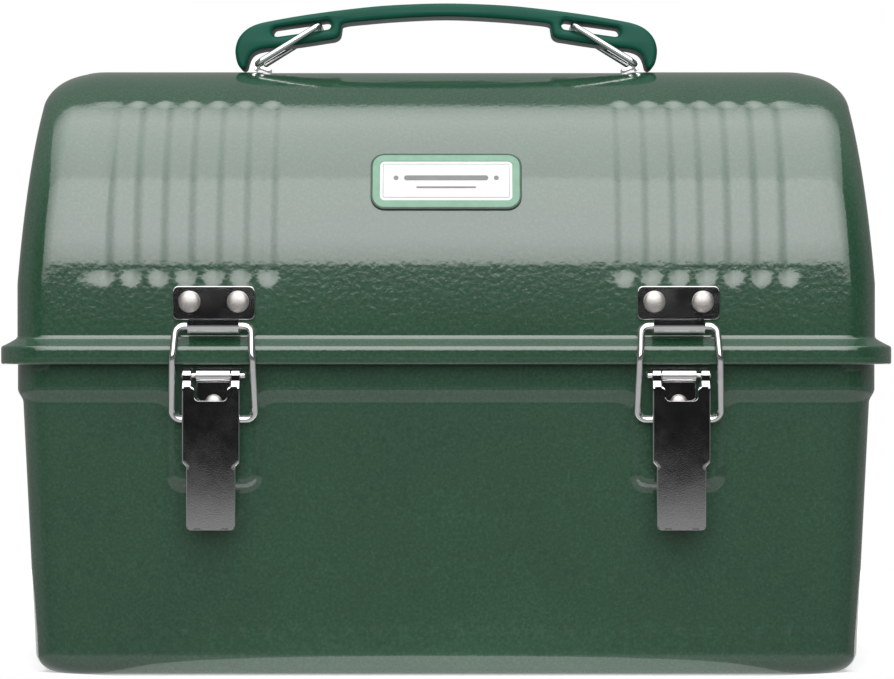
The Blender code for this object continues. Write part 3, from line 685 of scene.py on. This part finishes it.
def flat_plate(x, half_width, z_low, z_high, y_back, y_front, radius, edge=0.00030):
    """A plate in the XZ plane with round corners and softly rolled front edges."""
    middle = (z_low + z_high) / 2
    half_height = (z_high - z_low) / 2
    rows = [(0.0, y_back)]
    for degrees in (0, 30, 60, 90):
        a = math.radians(degrees)
        rows.append((edge * (1 - math.cos(a)), y_front + edge * (1 - math.sin(a))))
    verts = []
    for inset, y in rows:
        for across, up in strip_section(half_width - inset, half_height - inset, radius - inset, 8):
            verts.append((x + across, y, middle + up))
    count = len(verts) // len(rows)
    faces = ring_faces(len(rows), count)
    faces.append(tuple(range(count))[::-1])
    faces.append(tuple(range(len(verts) - count, len(verts))))
    return verts, faces


def flatten(piece):
    """Large flat faces keep their own normal, so the rounding stays at the edges."""
    weighted = piece.modifiers.new("flat_faces", "WEIGHTED_NORMAL")
    weighted.keep_sharp = True


def plated(name, shape, node, body):
    piece = mesh_piece(name, *shape, MATERIALS["chrome"], body, angle=50)
    flatten(piece)
    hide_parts(node)


def build_keeper(tag):
    node = f"keeper_{tag}"
    low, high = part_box(node)
    x = (low[0] + high[0]) / 2
    half = (high[0] - low[0]) / 2
    back = high[1]
    front = back - PLATE
    plate = flat_plate(x, half, high[2] - 0.0124, high[2], back, front, 0.0021)
    plated(f"keeper_plate_{tag}", plate, node, "lid")
    middle = (back + front) / 2
    lip = low[1] + PLATE / 2
    bend = (middle - lip) / 2
    centre = (middle - bend, HOOK_BOTTOM + PLATE / 2 + bend)
    line = [(middle, high[2] - 0.0116), *arc(centre, bend, 0, -180, 24), (lip, HOOK_LIP)]
    plated(f"keeper_hook_{tag}", bent_strip(x, HOOK_HALF, line, PLATE * 0.97), node, "lid")


def build_latch_base(tag):
    node = f"latch_base_{tag}"
    low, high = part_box(node)
    x = (low[0] + high[0]) / 2
    middle = high[1] - PLATE / 2
    line = [(middle, low[2] + 0.00001), (middle, PIN_Z - 0.0012), *arc((PIN_Y, PIN_Z), ROLL_RADIUS, 0, 300, 40)]
    plated(f"base_roll_{tag}", bent_strip(x, ROLL_HALF, line, PLATE * 0.98), node, "tub")


def lever_half(z):
    """Half the lever's width at this height: its grip end is narrower."""
    wide, narrow = LEVER_HALVES
    return narrow + (wide - narrow) * float(smoothstep(LEVER_STEP - 0.0007, LEVER_STEP + 0.0007, z))


def lever_columns(wide):
    """From the middle outwards, (across, back, top height, share of the flange's depth).

    None marks the notch's side, where no faces join the columns."""
    notch, notch_low = NOTCH
    corner = 0.0018
    crest = 0.0014
    turn = 0.0010
    columns = []
    places = [0.0, 0.0015, 0.0030]
    for k in range(7):
        places.append(notch - corner + corner * math.sin(math.radians(15 * k)))
    for across in places:
        inside = max(0.0, across - (notch - corner))
        drop = math.sqrt(max(0.0, corner * corner - inside * inside))
        columns.append((across, 0.0, notch_low + corner - drop, 0.0))
    columns.append(None)
    for k in range(6):
        a = math.radians(18 * k)
        columns.append((notch + crest * (1 - math.cos(a)), 0.0, LEVER_TOP - crest + crest * math.sin(a), 0.0))
    columns.append((0.0085, 0.0, LEVER_TOP, 0.0))
    for k in range(7):
        a = math.radians(15 * k)
        columns.append((wide - turn + turn * math.sin(a), turn * (1 - math.cos(a)), LEVER_TOP, 0.0))
    columns += [(wide, turn, LEVER_TOP, share) for share in (0.25, 0.5, 0.75, 1.0)]
    return columns


def lever_sheet(x, bottom):
    """(points, faces) of the lever's outer skin, its lower rows shared and its upper rows cut to the notch."""
    wide = lever_half(LEVER_TOP)
    narrow = lever_half(bottom)
    corner = 0.0019
    shared_top = NOTCH[1] - 0.0006
    right = lever_columns(wide)
    lower = [0.0, 0.02, 0.05] + [0.05 + 0.95 * k / 50 for k in range(1, 51)]
    upper = [k / 8 for k in range(1, 9)]
    verts = []
    faces = []
    for hand in (-1, 1):
        before = None
        for column in right:
            if column is None:
                before = None
                continue
            across, back, top, share = column
            inside = min(corner, max(0.0, across / wide * narrow - (narrow - corner)))
            start = bottom + corner - math.sqrt(corner * corner - inside * inside)
            heights = [start + t * (shared_top - start) for t in lower]
            heights += [shared_top + t * (top - shared_top) for t in upper]
            here = len(verts)
            for z in heights:
                depth = 0.0018 + 0.0046 * min(1.0, max(0.0, (z - 0.0600) / 0.0300))
                reach = hand * across * lever_half(z) / wide
                verts.append((x + reach, LEVER_FACE + back + share * (depth - back), z))
            for i in range(len(heights) - 1):
                if before is not None:
                    quad = (before + i, here + i, here + i + 1, before + i + 1)
                    faces.append(quad if hand > 0 else quad[::-1])
            before = here
    return verts, faces


def build_lever(tag):
    """The channel's front and flanges as one rounded sheet, with two rolled ears on the pin."""
    node = f"lever_{tag}"
    low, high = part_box(node)
    x = (low[0] + high[0]) / 2
    wide = lever_half(LEVER_TOP)
    shape = lever_sheet(x, low[2])
    sheet = mesh_piece(f"lever_face_{tag}", *shape, MATERIALS["chrome"], node, angle=50, closed=False)
    thick = sheet.modifiers.new("sheet", "SOLIDIFY")
    thick.thickness = PLATE * 0.9
    thick.offset = -1.0
    soften = sheet.modifiers.new("rolled_edge", "BEVEL")
    soften.width = 0.00022
    soften.segments = 3
    soften.limit_method = "ANGLE"
    soften.angle_limit = math.radians(60)
    flatten(sheet)
    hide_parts(node)
    face = LEVER_FACE + PLATE / 2
    behind = PIN_Y - EAR_RADIUS
    route = [(face, LEVER_TOP - 0.0016), (face, LEVER_TOP - 0.0004), (behind, PIN_Z - 0.0024), (behind, PIN_Z)]
    line = yz_path(route, [0.0, 0.0007, 0.0009, 0.0], 8) + arc((PIN_Y, PIN_Z), EAR_RADIUS, 180, -40, 30)[1:]
    for index, hand in enumerate((-1, 1)):
        centre = x + hand * (wide - 0.0001 - EAR_WIDTH / 2)
        ear = bent_strip(centre, EAR_WIDTH / 2, line, PLATE * 0.97)
        plated(f"lever_ear_{tag}_{index + 1}", ear, node, node)


def build_pin(node, body):
    """A headed pin along X, its ends domed."""
    low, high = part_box(node)
    y, z = (low[1] + high[1]) / 2, (low[2] + high[2]) / 2
    radius = (high[2] - low[2]) / 2
    dome = 0.5 * radius
    rows = []
    for degrees in (80, 55, 30, 0):
        a = math.radians(degrees)
        rows.append((low[0] + dome * (1 - math.sin(a)), radius * math.cos(a)))
    for degrees in (0, 30, 55, 80):
        a = math.radians(degrees)
        rows.append((high[0] - dome * (1 - math.sin(a)), radius * math.cos(a)))
    sides = 28
    verts = []
    for x, size in rows:
        for j in range(sides):
            a = math.tau * j / sides
            verts.append((x, y + size * math.cos(a), z + size * math.sin(a)))
    faces = ring_faces(len(rows), sides)
    faces.append(tuple(range(sides))[::-1])
    faces.append(tuple(range(len(verts) - sides, len(verts))))
    plated(f"pin_bar_{node}", (verts, faces), node, body)


# ---- rivets ----
def build_rivet(node, body):
    """A smooth domed head in the place of a packed rivet, flat side on its plate."""
    low, high = (Vector(corner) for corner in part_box(node))
    size = high - low
    axis = min(range(3), key=lambda i: size[i])
    middle = (low + high) / 2
    outward = Vector((0, 0, 0))
    outward[axis] = -1 if axis == 2 or middle.y < 0 else 1
    height = size[axis]
    radius = max(size) / 2
    base = middle - outward * height / 2
    turn = Vector((0, 0, 1)).rotation_difference(outward).to_matrix()
    profile = [(0.94, 0.0), (1.0, 0.10), (0.99, 0.28)]
    for degrees in range(12, 90, 12):
        a = math.radians(degrees)
        profile.append((0.99 * math.cos(a), 0.28 + 0.72 * math.sin(a)))
    sides = 32
    verts = []
    for share, lift in profile:
        for j in range(sides):
            a = math.tau * j / sides
            spot = Vector((radius * share * math.cos(a), radius * share * math.sin(a), height * lift))
            verts.append(base + turn @ spot)
    faces = ring_faces(len(profile), sides)
    faces.append(tuple(range(sides))[::-1])
    faces.append(tuple(range(len(verts) - sides, len(verts))))
    piece = mesh_piece(f"head_{node}", verts, faces, MATERIALS["rivet"], body, angle=60)
    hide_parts(node)


# ---- handle ----
def grip_outline():
    """The grip's side view as a smooth closed loop of (x, z)."""
    right = [
        (0.0, 0.2548), (0.0130, 0.2545), (0.0256, 0.2538), (0.0373, 0.2526), (0.0470, 0.2514),
        (0.0567, 0.2500), (0.0664, 0.2483), (0.0722, 0.2471), (0.0761, 0.2456), (0.0790, 0.2434),
        (0.0810, 0.2405), (0.0819, 0.2371), (0.0817, 0.2337), (0.0808, 0.2308), (0.0793, 0.2293),
        (0.0778, 0.2298), (0.0771, 0.2322), (0.0761, 0.2345), (0.0744, 0.2360), (0.0713, 0.2370),
        (0.0680, 0.2374), (0.0567, 0.2388), (0.0470, 0.2403), (0.0431, 0.2410), (0.0413, 0.2425),
        (0.0407, 0.2452), (0.0397, 0.2468), (0.0315, 0.2478), (0.0179, 0.2489), (0.0, 0.2496),
    ]
    loop = right + [(-x, z) for x, z in right[-2:0:-1]]
    smooth = []
    for i in range(len(loop)):
        p = [np.array(loop[(i + k) % len(loop)]) for k in (-1, 0, 1, 2)]
        for t in np.arange(0.0, 1.0, 0.25):
            pull = (p[2] - p[0]) * t
            pull = pull + (2 * p[0] - 5 * p[1] + 4 * p[2] - p[3]) * t**2
            pull = pull + (3 * p[1] - p[0] - 3 * p[2] + p[3]) * t**3
            smooth.append(tuple(p[1] + pull / 2))
    return smooth


def curve_loop(curve, points):
    spline = curve.splines.new("POLY")
    spline.points.add(len(points) - 1)
    for target, (x, z) in zip(spline.points, points):
        target.co = (x, z, 0.0, 1.0)
    spline.use_cyclic_u = True


def build_grip():
    """The moulded grip: an outline with two slots, extruded along Y with rounded edges."""
    half_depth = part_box("handle_grip")[1][1]
    edge = 0.0017
    curve = bpy.data.curves.new("grip_outline", "CURVE")
    curve.dimensions = "2D"
    curve.fill_mode = "BOTH"
    curve_loop(curve, grip_outline())
    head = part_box("link_right")[1][2] - LINK_WIRE
    for hand in (-1, 1):
        points = []
        for x, start in ((SLOT_ENDS[1] - SLOT_HALF, -90), (SLOT_ENDS[0] + SLOT_HALF, 90)):
            z = head - SLOT_SLOPE * (x - LINK_HEAD_X)
            for k in range(9):
                a = math.radians(start + 180 * k / 8)
                points.append((hand * (x + SLOT_HALF * math.cos(a)), z + SLOT_HALF * math.sin(a)))
        curve_loop(curve, points)
    curve.extrude = half_depth - edge
    curve.bevel_depth = edge
    curve.bevel_resolution = 4
    curve.offset = -edge
    maker = bpy.data.objects.new("grip_maker", curve)
    bpy.context.scene.collection.objects.link(maker)
    bpy.context.view_layer.update()
    graph = bpy.context.evaluated_depsgraph_get()
    made = maker.evaluated_get(graph).to_mesh()
    verts = [(v.co.x, -v.co.z, v.co.y) for v in made.vertices]
    faces = [tuple(p.vertices) for p in made.polygons]
    maker.evaluated_get(graph).to_mesh_clear()
    bpy.data.objects.remove(maker)
    piece = mesh_piece("grip_moulding", verts, faces, MATERIALS["grip"], "handle", angle=40)
    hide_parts("handle_grip")


# ---- badge ----
BADGE_ANGLE = math.radians(66.4)


def badge_point(u, v, lift):
    a = BADGE_ANGLE - v / DOME_RADIUS
    reach = DOME_RADIUS + lift
    return (u, -reach * math.sin(a), DOME_AXIS + reach * math.cos(a))


def round_loop(width, height, radius, steps=8, run=6):
    """Even points round a rectangle with round corners, as (u, v)."""
    points = []
    for sx, sv, start in ((1, 1, 0), (-1, 1, 90), (-1, -1, 180), (1, -1, 270)):
        for k in range(steps + 1):
            a = math.radians(start + 90 * k / steps)
            u = sx * (width / 2 - radius) + radius * math.cos(a)
            points.append((u, sv * (height / 2 - radius) + radius * math.sin(a)))
    dense = []
    for i, (u, v) in enumerate(points):
        nu, nv = points[(i + 1) % len(points)]
        parts = run if math.hypot(nu - u, nv - v) > 0.004 else 1
        for k in range(parts):
            dense.append((u + (nu - u) * k / parts, v + (nv - v) * k / parts))
    return dense


def badge_ring(name, outer, inner, low, high, material, nodes=()):
    """A curved frame between two rounded rectangles (width, height, radius)."""
    soft = 0.00018
    outer_loop = round_loop(*outer)
    outer_top = round_loop(outer[0] - 2 * soft, outer[1] - 2 * soft, outer[2] - soft)
    inner_loop = round_loop(*inner)
    loops = [(outer_loop, low), (outer_loop, high - soft), (outer_top, high)]
    loops += [(inner_loop, high), (inner_loop, low)]
    verts = [badge_point(u, v, lift) for loop, lift in loops for u, v in loop]
    faces = ring_faces(len(loops), len(outer_loop), True)
    piece = mesh_piece(name, verts, faces, MATERIALS[material], "lid", angle=35)
    if nodes:
        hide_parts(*nodes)


def badge_plate(name, width, height, radius, low, high, material, slot, centre=(0.0, 0.0), nodes=()):
    """A curved plate filled in concentric loops."""
    verts = []
    loops = [(1.0, low), (1.0, high)] + [(share, high) for share in (0.8, 0.6, 0.4, 0.2, 0.05)]
    base = round_loop(width, height, radius)
    for share, lift in loops:
        for u, v in base:
            verts.append(badge_point(centre[0] + u * share, centre[1] + v * share, lift))
    faces = ring_faces(len(loops), len(base))
    faces.append(tuple(range(len(verts) - len(base), len(verts))))
    under = len(verts)
    for share in (0.8, 0.6, 0.4, 0.2, 0.05):
        for u, v in base:
            verts.append(badge_point(centre[0] + u * share, centre[1] + v * share, low))
    count = len(base)
    rows = [0] + [under // count + k for k in range(5)]
    for a, b in zip(rows, rows[1:]):
        for j in range(count):
            k = (j + 1) % count
            faces.append((a * count + k, a * count + j, b * count + j, b * count + k))
    faces.append(tuple(range(len(verts) - count, len(verts)))[::-1])
    piece = mesh_piece(name, verts, faces, MATERIALS[material], "lid", angle=35)
    if nodes:
        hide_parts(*nodes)


def build_badge():
    """Dark edge ring painted as the shadow gap round the badge, mint rim, white field with a fine grey line,
    and a plain bar and diamonds.
    """
    size = (0.0557, 0.0227, 0.0052)

    def inward(step):
        return (size[0] - 2 * step, size[1] - 2 * step, size[2] - step)

    # painted shadow: the dark ring round the badge stands for the shadow gap between the badge and the lid
    badge_ring("badge_shadow_gap_ring", size, inward(0.0006), 0.0001, 0.0011, "edge", ("badge_frame",))
    badge_ring("badge_rim", inward(0.00065), inward(0.0034), 0.0001, 0.0012, "mint")
    badge_plate("badge_field", *inward(0.00345), 0.0001, 0.0010, "white", "white", (0, 0), ("badge_panel",))
    badge_ring("badge_line", inward(0.0044), inward(0.0047), 0.00098, 0.00106, "ink")
    print_low, print_high = 0.00098, 0.00108

    def printed(name, width, height, radius, centre):
        badge_plate(name, width, height, radius, print_low, print_high, "ink", "white", centre)

    printed("badge_bar", 0.0310, 0.0020, 0.0009, (0.0, 0.0010))
    printed("badge_underline", 0.0220, 0.0007, 0.0003, (0.0, -0.0028))
    for hand in (-1, 1):
        tag = "left" if hand < 0 else "right"
        printed(f"badge_dot_{tag}", 0.0018, 0.0018, 0.0008, (hand * 0.0185, 0.0010))


# ---- carried-over pressed parts ----
def finish_pressed(node, width=0.00022):
    """A packed plate keeps its shape and gets softly rolled edges."""
    obj = frame["nodes"][node]
    obj.data.materials.clear()
    obj.data.materials.append(MATERIALS[SLOTS[node]])
    bevel = obj.modifiers.new("rolled_edge", "BEVEL")
    bevel.width = width
    bevel.segments = 2
    bevel.limit_method = "ANGLE"
    bevel.angle_limit = math.radians(35)
    bevel.harden_normals = True


# ---- stage ----
def build_floor():
    """A pale round table; past its edge the studio is dark in front and bright behind."""
    verts = []
    middle_y = FLOOR_BACK - FLOOR_RADIUS
    for j in range(96):
        a = math.tau * j / 96
        verts.append((FLOOR_RADIUS * math.cos(a), middle_y + FLOOR_RADIUS * math.sin(a), -0.0002))
    mesh = bpy.data.meshes.new("floor")
    mesh.from_pydata(verts, [], [tuple(range(96))])
    n = Nodes("pale_floor")
    n.feed(Base_Color=n.ramp(n.noise(6.0), [(0.3, (0.90, 0.90, 0.90)), (0.7, (0.93, 0.93, 0.93))]))
    n.fix(Roughness=0.9, Specular_IOR_Level=0.1)
    n.fix(Emission_Color=(1.0, 1.0, 1.0, 1.0), Emission_Strength=FLOOR_GLOW)
    mesh.materials.append(n.material)
    floor = bpy.data.objects.new("floor", mesh)
    bpy.context.scene.collection.objects.link(floor)


def light_ramp(tree, source, stops):
    """A smooth curve of strength along one direction of a softbox."""
    ramp = tree.nodes.new("ShaderNodeValToRGB")
    ramp.color_ramp.interpolation = "B_SPLINE"
    elements = ramp.color_ramp.elements
    for position, value in stops:
        if position == 0.0:
            element = elements[0]
        elif position == 1.0:
            element = elements[len(elements) - 1]
        else:
            element = elements.new(position)
        element.color = (value, value, value, 1.0)
    tree.links.new(source, ramp.inputs["Fac"])
    return ramp.outputs["Color"]


def strip_light(name, low, high, radiance, lengthwise):
    """A softbox between two lines parallel to X, given as (y, z), facing the box and fading to its ends."""
    start = Vector((0.0, *low))
    end = Vector((0.0, *high))
    middle = (start + end) / 2
    data = bpy.data.lights.new(name, "AREA")
    data.shape = "RECTANGLE"
    data.size = SOFTBOX_WIDTH
    data.size_y = (end - start).length
    data.energy = radiance * math.pi * data.size * data.size_y
    data.use_nodes = True
    tree = data.node_tree
    place = tree.nodes.new("ShaderNodeSeparateXYZ")
    tree.links.new(tree.nodes.new("ShaderNodeNewGeometry").outputs["Parametric"], place.inputs[0])
    product = tree.nodes.new("ShaderNodeMath")
    product.operation = "MULTIPLY"
    tree.links.new(light_ramp(tree, place.outputs["X"], SOFTBOX_ACROSS), product.inputs[0])
    tree.links.new(light_ramp(tree, place.outputs["Y"], lengthwise), product.inputs[1])
    tree.links.new(product.outputs[0], tree.nodes["Emission"].inputs["Strength"])
    light = bpy.data.objects.new(name, data)
    light.location = middle
    up = (end - start).normalized()
    across = Vector((1, 0, 0))
    facing = across.cross(up)
    if facing.dot(Vector((0, 0, 0.2)) - middle) > 0:
        across, facing = -across, -facing
    turn = Matrix((across, up, facing)).transposed()
    light.rotation_euler = turn.to_euler()
    bpy.context.scene.collection.objects.link(light)


def build_lights():
    """Two softboxes from just above eye level to overhead, brightest where they meet.

    The room is dark in front of the box, grey behind it and lighter where its table would be."""
    front = [(0.0, 0.72), (0.08, 0.82), (0.2, 0.88), (0.5, 1.18), (1.0, 1.42)]
    top = [(0.0, 2.4), (0.12, 2.0), (0.3, 1.55), (0.55, 1.18), (0.8, 0.88), (0.95, 0.50), (1.0, 0.15)]
    strip_light("front", (-2.05, 0.235), (-1.25, 1.70), 3.45, front)
    strip_light("top", (-1.25, 1.70), (0.62, 2.17), 2.75, top)
    world = bpy.data.worlds.new("studio")
    bpy.context.scene.world = world
    world.use_nodes = True
    tree = world.node_tree
    for node in list(tree.nodes):
        tree.nodes.remove(node)

    def add(kind):
        return tree.nodes.new(kind)

    def mapped(source, low, high, out_low, out_high):
        node = add("ShaderNodeMapRange")
        node.interpolation_type = "SMOOTHSTEP"
        for key, value in (("From Min", low), ("From Max", high), ("To Min", out_low), ("To Max", out_high)):
            node.inputs[key].default_value = value
        tree.links.new(source, node.inputs["Value"])
        return node.outputs["Result"]

    def combined(operation, one, other):
        node = add("ShaderNodeMath")
        node.operation = operation
        tree.links.new(one, node.inputs[0])
        tree.links.new(other, node.inputs[1])
        return node.outputs[0]

    coords = add("ShaderNodeTexCoord").outputs["Generated"]
    toward = add("ShaderNodeVectorMath")
    toward.operation = "DOT_PRODUCT"
    toward.inputs[1].default_value = (-0.15, 0.98, 0.0)
    tree.links.new(coords, toward.inputs[0])
    height = add("ShaderNodeSeparateXYZ")
    tree.links.new(coords, height.inputs[0])
    behind = mapped(toward.outputs["Value"], -0.72, 0.25, 0.008, 0.36)
    far_table = mapped(height.outputs["Z"], -0.040, -0.062, 0.0, 0.40)
    far_table = combined("MULTIPLY", far_table, mapped(height.outputs["Z"], -0.068, -0.092, 1.0, 0.42))
    table = combined("MAXIMUM", far_table, mapped(height.outputs["Z"], -0.10, -0.45, 0.0, 0.62))
    surround = add("ShaderNodeBackground")
    tree.links.new(combined("MAXIMUM", behind, table), surround.inputs["Strength"])
    seen = add("ShaderNodeBackground")
    seen.inputs["Strength"].default_value = 1.0
    seen.inputs["Color"].default_value = (1.0, 1.0, 1.0, 1.0)
    path = add("ShaderNodeLightPath")
    mix = add("ShaderNodeMixShader")
    out = add("ShaderNodeOutputWorld")
    tree.links.new(path.outputs["Is Camera Ray"], mix.inputs["Fac"])
    tree.links.new(surround.outputs[0], mix.inputs[1])
    tree.links.new(seen.outputs[0], mix.inputs[2])
    tree.links.new(mix.outputs[0], out.inputs["Surface"])


def build_camera():
    """Level with the bead, 1.25 m in front of the box's middle."""
    data = bpy.data.cameras.new("front_view")
    data.sensor_width = 36.0
    data.lens = CAMERA_LENS
    camera = bpy.data.objects.new("front_view", data)
    camera.location = (0.0003, -CAMERA_DISTANCE, WALL_FOOT - 0.0005)
    camera.rotation_euler = (math.pi / 2, 0.0, 0.0)
    bpy.context.scene.collection.objects.link(camera)
    bpy.context.scene.camera = camera


def node_body(node):
    bodies = frame["record"]["behaviour"]["bodies"]
    return next(body for body, nodes in bodies.items() if node in nodes)


def main():
    bpy.context.scene.view_settings.view_transform = "Standard"
    build_camera()
    build_lights()
    build_floor()
    build_lid()
    build_tub()
    for tag, hand in (("left", -1), ("right", 1)):
        build_bail(tag)
        build_link(tag, hand)
        build_keeper(tag)
        build_latch_base(tag)
        build_lever(tag)
        build_pin(f"latch_pin_{tag}", "tub")
        build_pin(f"hinge_pin_{tag}", node_body(f"hinge_pin_{tag}"))
    build_bottle_bail()
    build_grip()
    build_badge()
    for node in SLOTS:
        if "rivet" in node:
            build_rivet(node, node_body(node))
        elif node.startswith(("hinge_lid", "hinge_tub", "link_bracket", "retainer")):
            finish_pressed(node)


main()
